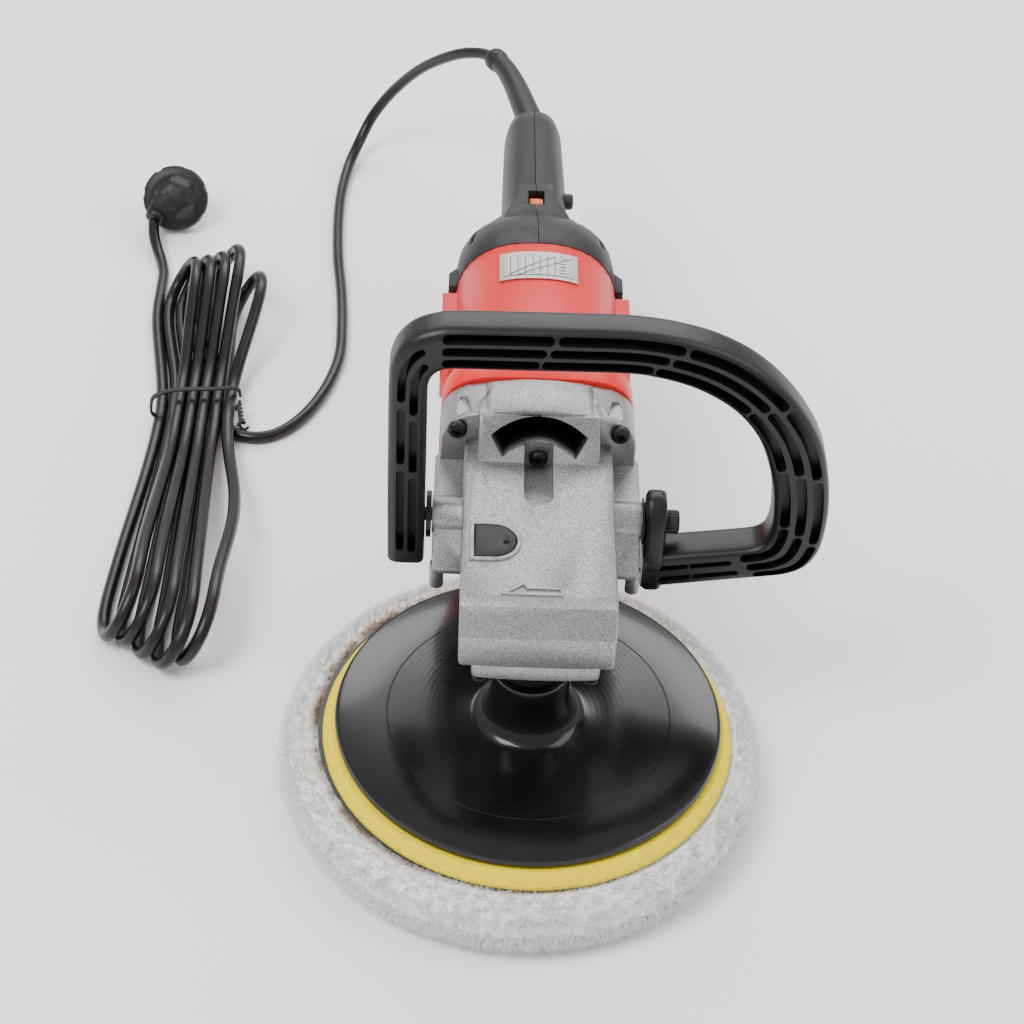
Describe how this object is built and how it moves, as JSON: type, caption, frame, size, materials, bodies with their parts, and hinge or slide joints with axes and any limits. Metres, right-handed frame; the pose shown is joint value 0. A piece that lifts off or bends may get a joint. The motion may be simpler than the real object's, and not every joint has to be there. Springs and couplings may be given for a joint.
{
  "type": "rotary polisher",
  "caption": "Corded right-angle rotary polisher with a loop front handle, a rear grip with trigger and speed dial, and a hook-and-loop wool pad.",
  "frame": {"origin": "on the spindle axis at the working face of the wool pad", "axes": "+Z along the spindle towards the gear head, +Y along the motor towards the rear grip, +X to the side of the handle bolt that carries the bow of the loop"},
  "size_m": [0.3375, 0.6038, 0.2231],
  "materials": {
    "cast_aluminium": "as-cast, fine sandy grain",
    "red_plastic": "semi-gloss, coral red",
    "black_plastic": "matte with a fine moulded grain",
    "handle_plastic": "satin",
    "gloss_plate": "glossy black, lightly dusty",
    "wool": "long off-white pile",
    "woven_backing": "woven loop cloth",
    "hook_nylon": "fine nylon hooks",
    "foam": "yellow open-cell foam",
    "steel": "machined",
    "black_steel": "black oxide",
    "copper": "copper winding and segments",
    "carbon": "pressed carbon",
    "label_film": "silver printed film",
    "orange_plastic": "moulded orange",
    "rubber": "satin black cord jacket",
    "tie_plastic": "black coated twist wire",
    "pin_metal": "nickel plated"
  },
  "bodies": {
    "housing": {"spindle_bearing": "steel", "gear_housing": "cast_aluminium", "bearing_cover": "cast_aluminium", "centre_screw": "black_steel", "motor_housing": "red_plastic", "stator_core": "steel", "field_coil_top": "copper", "field_coil_bottom": "copper", "front_bearing": "steel", "rear_bearing": "steel", "brush_holder_left": "black_plastic", "brush_holder_right": "black_plastic", "carbon_brush_left": "carbon", "carbon_brush_right": "carbon", "rear_cover_left": "black_plastic", "rear_cover_right": "black_plastic", "speed_module": "black_plastic", "switch_body": "black_plastic", "rating_label": "label_film", "loop_handle": "handle_plastic", "handle_bolt_left": "black_steel", "handle_bolt_right": "black_steel", "handle_spacer_left": "rubber", "handle_spacer_right": "rubber", "cord_boot": "rubber", "cord_lead": "rubber", "cord_hank": "rubber", "cord_tail": "rubber", "cord_tie": "tie_plastic", "plug_body": "rubber", "plug_pin_left": "pin_metal", "plug_pin_right": "pin_metal", "flange_screw_1": "black_steel", "cover_screw_1": "black_steel", "flange_screw_2": "black_steel", "cover_screw_2": "black_steel", "flange_screw_3": "black_steel", "cover_screw_3": "black_steel", "flange_screw_4": "black_steel", "cover_screw_4": "black_steel"},
    "spindle": {"spindle": "black_steel", "crown_gear": "steel", "backing_plate": "gloss_plate", "thread_insert": "steel", "foam_pad": "foam", "hook_disc": "hook_nylon", "wool_backing": "woven_backing", "wool_pad": "wool"},
    "armature": {"pinion": "steel", "armature_shaft": "steel", "armature_core": "steel", "commutator": "copper", "cooling_fan": "black_plastic"},
    "spindle_lock": {"spindle_lock_button": "black_plastic", "spindle_lock_pin": "steel"},
    "speed_dial": {"speed_dial": "orange_plastic"},
    "trigger": {"trigger": "black_plastic"},
    "lock_on_button": {"lock_on_button": "black_plastic"}
  },
  "joints": [
    {"name": "spindle_spin", "type": "hinge", "parent": "housing", "child": "spindle", "pos_m": [0, 0, 0.07], "axis": [0, 0, 1], "continuous": true},
    {"name": "armature_spin", "type": "hinge", "parent": "housing", "child": "armature", "pos_m": [0, 0.12, 0.111], "axis": [0, 1, 0], "continuous": true},
    {"name": "spindle_lock_press", "type": "slide", "parent": "housing", "child": "spindle_lock", "axis": [0, 0, -1], "range_m": [0, 0.0025], "stiffness_N_per_m": 800, "springref_m": -0.002},
    {"name": "speed_dial_turn", "type": "hinge", "parent": "housing", "child": "speed_dial", "pos_m": [0, 0.2545, 0.1203], "axis": [1, 0, 0], "range_deg": [-140, 140]},
    {"name": "trigger_squeeze", "type": "hinge", "parent": "housing", "child": "trigger", "pos_m": [0, 0.2765, 0.086], "axis": [1, 0, 0], "range_deg": [0, 5], "stiffness_Nm_per_rad": 1.5, "springref_deg": -5.73},
    {"name": "lock_on_press", "type": "slide", "parent": "housing", "child": "lock_on_button", "axis": [-1, 0, 0], "range_m": [0, 0.003], "stiffness_N_per_m": 600, "springref_m": -0.002}
  ],
  "couplings": [
    {"joint": "armature_spin", "follows": "spindle_spin", "ratio": -3.3333}
  ]
}
